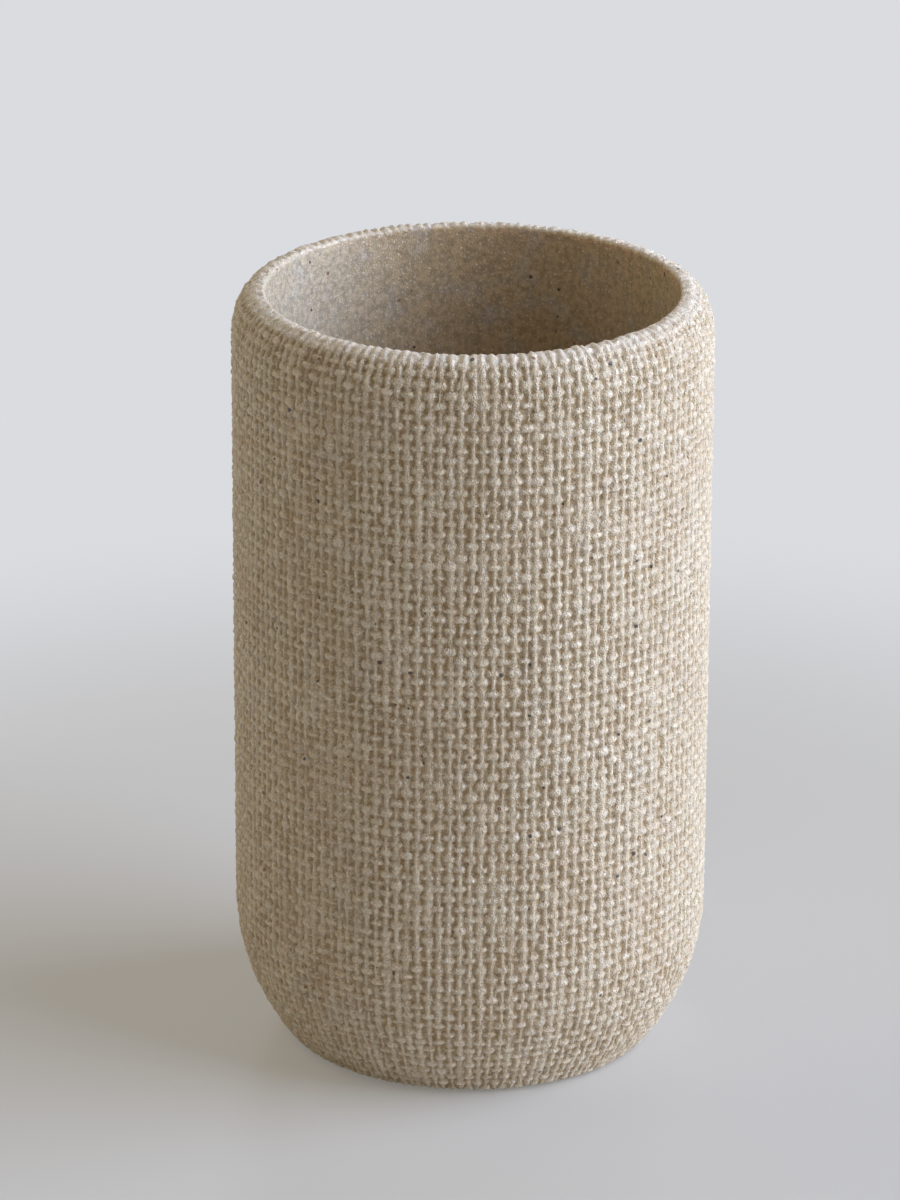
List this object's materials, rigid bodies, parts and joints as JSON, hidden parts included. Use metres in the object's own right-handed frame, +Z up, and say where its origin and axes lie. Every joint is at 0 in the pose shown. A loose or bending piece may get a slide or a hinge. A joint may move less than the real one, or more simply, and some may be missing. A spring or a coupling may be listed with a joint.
{
  "type": "bathroom tumbler",
  "caption": "Straight round cup cast in sand-filled resin, with burlap-weave relief outside, a smooth bore, a rounded rim and base corner, and foam pads in a recessed base.",
  "frame": {"origin": "on the shelf that the tumbler stands on, under the centre of the cup", "axes": "+Z up, along the cup's axis and out of its mouth; X and Y run between the foot pads"},
  "size_m": [0.075, 0.075, 0.1235],
  "materials": {
    "sand_resin": "matte",
    "pad_foam": "matte",
    "pad_adhesive": "satin"
  },
  "bodies": {
    "root": {"cast_body": "sand_resin", "foot_pad_1": "pad_foam", "foot_pad_2": "pad_foam", "foot_pad_3": "pad_foam", "foot_pad_4": "pad_foam", "pad_adhesive_1": "pad_adhesive", "pad_adhesive_2": "pad_adhesive", "pad_adhesive_3": "pad_adhesive", "pad_adhesive_4": "pad_adhesive"}
  },
  "joints": []
}
